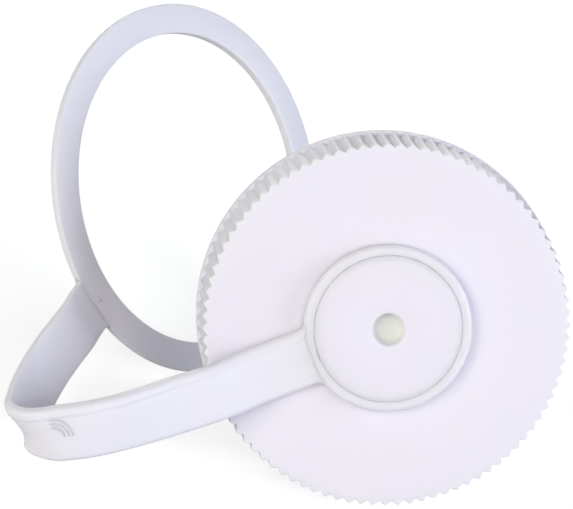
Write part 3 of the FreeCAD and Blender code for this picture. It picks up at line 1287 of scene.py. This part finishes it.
    def end(self, up: Points) -> Points:
        """Rows from the end of the run to inside the neck ring, seen along the ring's axis.

        The last rows sink a hair into the ring, so that their flat sides don't share a plane. The
        fold's shape runs out before them.

        Args:
            up: Upward direction of the floor, in the cap's own frame.

        Returns:
            Rows by columns by 3.
        """
        side = self.columns.side
        centre, turn = self.ring_place()
        begun = self.fillet_start(self.ring_radius, self.end_fillet)
        straight = np.linspace(self.ring_radius + self.end_run, begun, self.end_rows)[1:-1]
        ways = np.linspace(0.0, 1.0, self.end_fan_rows)
        merged = blend((ways - self.end_merge) / (1.0 - self.end_merge))
        near = np.concatenate([0.0 * straight, merged])[:, None] + 0.0 * side
        inset, level = self.section(near, self.band_thickness, self.ring_round)
        rows, spread = self.beside_ring(self.ring_radius, self.end_fillet, straight, ways, inset)
        lifted = (level - self.band_thickness / 2) * (1.0 - self.end_sink * near)
        length = self.run_length + self.end_run + self.ring_radius
        shape = self.fold_shape(length - rows, side + 0.0 * rows)
        sideways = turn[:, 1] - (turn[:, 1] @ up) * up
        flat = centre - rows[..., None] * turn[:, 2] + spread[..., None] * turn[:, 0]
        return flat + lifted[..., None] * turn[:, 1] + shape[..., None] * sideways

    def band(self, up: Points) -> Points:
        """Grid of the band, from inside the hub ring to inside the neck ring."""
        return np.concatenate([self.root(), self.run(up), self.end(up)])

    def neck_ring(self) -> Points:
        """Grid of the neck ring, about an axis that stands out of the band's upper face.

        Returns:
            Rows by columns by 3.
        """
        half = self.band_thickness / 2
        outline = rounded([
            (self.neck_bore, -half, self.ring_edge),
            (self.ring_radius, -half, self.ring_foot),
            (self.ring_radius, half, self.ring_round),
            (self.neck_bore, half, self.ring_edge),
        ], closed=True, steps=6)
        centre, turn = self.ring_place()
        return centre + turned(outline, self.ring_columns) @ np.array([turn[:, 0], turn[:, 2], turn[:, 1]])

    def build(self, workshop: Workshop) -> None:
        """Makes the strap's surfaces, its gate nub and its mould mark.

        Args:
            workshop: Makes the pieces and lays them down.
        """
        finish = self.plastic.make()
        up = workshop.attitude.rotation()[2]
        band = workshop.piece("strap_band", self.band(up), Ends.CAPPED, Body.STRAP, finish)
        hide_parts("loop_strap")
        others = [
            ("strap_hub_ring", self.hub_ring(), Ends.JOINED),
            ("strap_neck_ring", self.neck_ring(), Ends.JOINED),
            ("strap_gate_nub", self.gate_nub(), Ends.CAPPED),
        ]
        for number, radius in enumerate(self.mark_radii, start=1):
            others.append((f"strap_mould_mark_{number}", self.mark_ridge(radius, up), Ends.CAPPED))
        for name, grid, ends in others:
            workshop.piece(name, grid, ends, Body.STRAP, finish)


# Studio


@dataclass(frozen=True)
class Lamp:
    """Square soft lamp.

    Attributes:
        name: Name of the lamp.
        place: Where it stands, in metres.
        watts: Its power.
        colour: Its colour.
        size: Length of its side, in metres.
    """

    name: str
    place: tuple[float, float, float]
    watts: float
    colour: Colour
    size: float = 0.9

    def build(self, aim: tuple[float, float, float]) -> None:
        """Sets the lamp up.

        Args:
            aim: Point that it faces, in metres.
        """
        data = bpy.data.lights.new(self.name, "AREA")
        data.size, data.energy, data.color = self.size, self.watts, self.colour
        lamp = placed(self.name, data)
        lamp.location = self.place
        lamp.rotation_euler = (Vector(self.place) - Vector(aim)).to_track_quat("Z", "Y").to_euler()


@dataclass
class Studio:
    """Pale floor, soft lamps and the camera at the photograph's viewing angle.

    Attributes:
        elevation: Angle that the camera looks down, in degrees.
        roll: Angle that it is rolled, in degrees.
        distance: Way from the camera to its aim, in metres.
        aim: Point that the camera and the lamps face, in metres.
        focal_px: Focal length, in pixels of the photograph.
        image_width: Width of the photograph, in pixels.
        sensor_width: Width of the camera's sensor, in millimetres.
        clip: Nearest and furthest distance that the camera sees, in metres.
        around: Colour of the light from all round.
        around_strength: Strength of that light.
        floor_reach: Half the length of the floor's side, in metres.
        floor_grey: Share of the light that the floor gives back.
        near_glow: Strength of the floor's own glow under the part.
        glow_start: Distance from the middle past which the glow grows, in metres.
        lamps: The lamps.
    """

    elevation: float = 26.91
    roll: float = 24.39
    distance: float = 0.39824
    aim: tuple[float, float, float] = (-0.0023, -0.0007, 0.03463)
    focal_px: float = 2000.0
    image_width: float = 573.0
    sensor_width: float = 36.0
    clip: tuple[float, float] = (0.01, 20.0)
    around: Colour = (0.9, 1.0, 0.95)
    around_strength: float = 0.04
    floor_reach: float = 8.0
    floor_grey: float = 0.65
    near_glow: float = 0.62
    glow_start: float = 0.5
    lamps: tuple[Lamp, ...] = (
        Lamp("left_lamp", (-0.838, -1.19, 0.397), 14.5, (1.0, 0.98, 0.88)),
        Lamp("right_lamp", (1.284, -0.191, 0.785), 14.3, (0.81, 0.89, 1.0)),
        Lamp("camera_lamp", (0.465, -1.163, 0.861), 5.8, (1.0, 0.93, 0.99)),
        Lamp("rim_lamp", (-1.404, 0.239, 0.506), 1.9, (0.7, 0.92, 1.0)),
        Lamp("back_lamp", (-0.45, 1.25, 0.5), 8.0, (1.0, 0.99, 0.96)),
    )

    def camera(self) -> None:
        """Camera that looks along +Y and down, rolled as the photograph is."""
        rise, roll = math.radians(self.elevation), math.radians(self.roll)
        level_right = np.array([1.0, 0.0, 0.0])
        level_up = np.array([0.0, math.sin(rise), math.cos(rise)])
        back = np.array([0.0, -math.cos(rise), math.sin(rise)])
        right = math.cos(roll) * level_right + math.sin(roll) * level_up
        up = math.cos(roll) * level_up - math.sin(roll) * level_right
        data = bpy.data.cameras.new("photo_camera")
        data.sensor_width = self.sensor_width
        data.lens = self.focal_px * self.sensor_width / self.image_width
        data.clip_start, data.clip_end = self.clip
        eye = placed("photo_camera", data)
        place = Matrix(np.stack([right, up, back], axis=1)).to_4x4()
        place.translation = np.array(self.aim) + back * self.distance
        eye.matrix_world = place
        bpy.context.scene.camera = eye

    def world(self) -> None:
        """Even light from all round, and plain white behind."""
        world = bpy.data.worlds.new("studio")
        bpy.context.scene.world = world
        tree = NodeTree(world)
        path = tree.node("ShaderNodeLightPath", {}, {})
        settled = {"Color": solid(self.around), "Strength": self.around_strength}
        around = tree.node("ShaderNodeBackground", {}, settled)
        behind = tree.node("ShaderNodeBackground", {}, {"Color": solid(WHITE)})
        inputs = {0: path.outputs["Is Camera Ray"], 1: around.outputs[0], 2: behind.outputs[0]}
        mix = tree.node("ShaderNodeMixShader", {}, inputs)
        tree.node("ShaderNodeOutputWorld", {}, {"Surface": mix.outputs[0]})

    def floor(self) -> None:
        """White floor that keeps the part's shadow: it glows a little, to camera rays alone.

        The glow grows from near_glow under the part to 1 where the lamps' light has faded: its
        share is the distance from the middle, less half a metre, over a metre, held between 0 and 1.
        """
        tree = NodeTree(bpy.data.materials.new("floor_white"))
        path = tree.node("ShaderNodeLightPath", {}, {})
        seen = Signal(tree, path.outputs["Is Camera Ray"])
        place = tree.node("ShaderNodeTexCoord", {}, {}).outputs["Object"]
        distance = tree.signal("ShaderNodeVectorMath", {"operation": "LENGTH"}, {0: place}, "Value")
        strength = self.near_glow + (distance - self.glow_start).held() * (1.0 - self.near_glow)
        grey = (self.floor_grey, self.floor_grey, self.floor_grey)
        matt = tree.node("ShaderNodeBsdfDiffuse", {}, {"Color": solid(grey)})
        inputs = {"Color": solid(WHITE), "Strength": seen * strength}
        glow = tree.node("ShaderNodeEmission", {}, inputs)
        both = tree.node("ShaderNodeAddShader", {}, {0: matt.outputs[0], 1: glow.outputs[0]})
        tree.node("ShaderNodeOutputMaterial", {}, {"Surface": both.outputs[0]})
        far = self.floor_reach
        corners = [(-far, -far, 0.0), (far, -far, 0.0), (far, far, 0.0), (-far, far, 0.0)]
        mesh = bpy.data.meshes.new("floor")
        mesh.from_pydata(corners, [], [(0, 1, 2, 3)])
        mesh.materials.append(tree.owner)
        ground = placed("floor", mesh)

    def build(self) -> None:
        """Sets up the whole studio."""
        bpy.context.scene.view_settings.view_transform = "Standard"
        self.camera()
        self.floor()
        self.world()
        for lamp in self.lamps:
            lamp.build(self.aim)


def main() -> None:
    """Builds the studio, the cap and the strap round the frame."""
    logging.basicConfig(level=logging.INFO, format="%(name)s: %(message)s")
    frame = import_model()
    cap = ScrewCap()
    strap = LoopStrap(cap)
    hinge = tuple(frame["joints"][0]["pos_m"])
    workshop = Workshop(Attitude(hinge, cap.hinge_height))
    Studio().build()
    cap.build(workshop)
    strap.build(workshop)


if __name__ == "__main__":
    main()
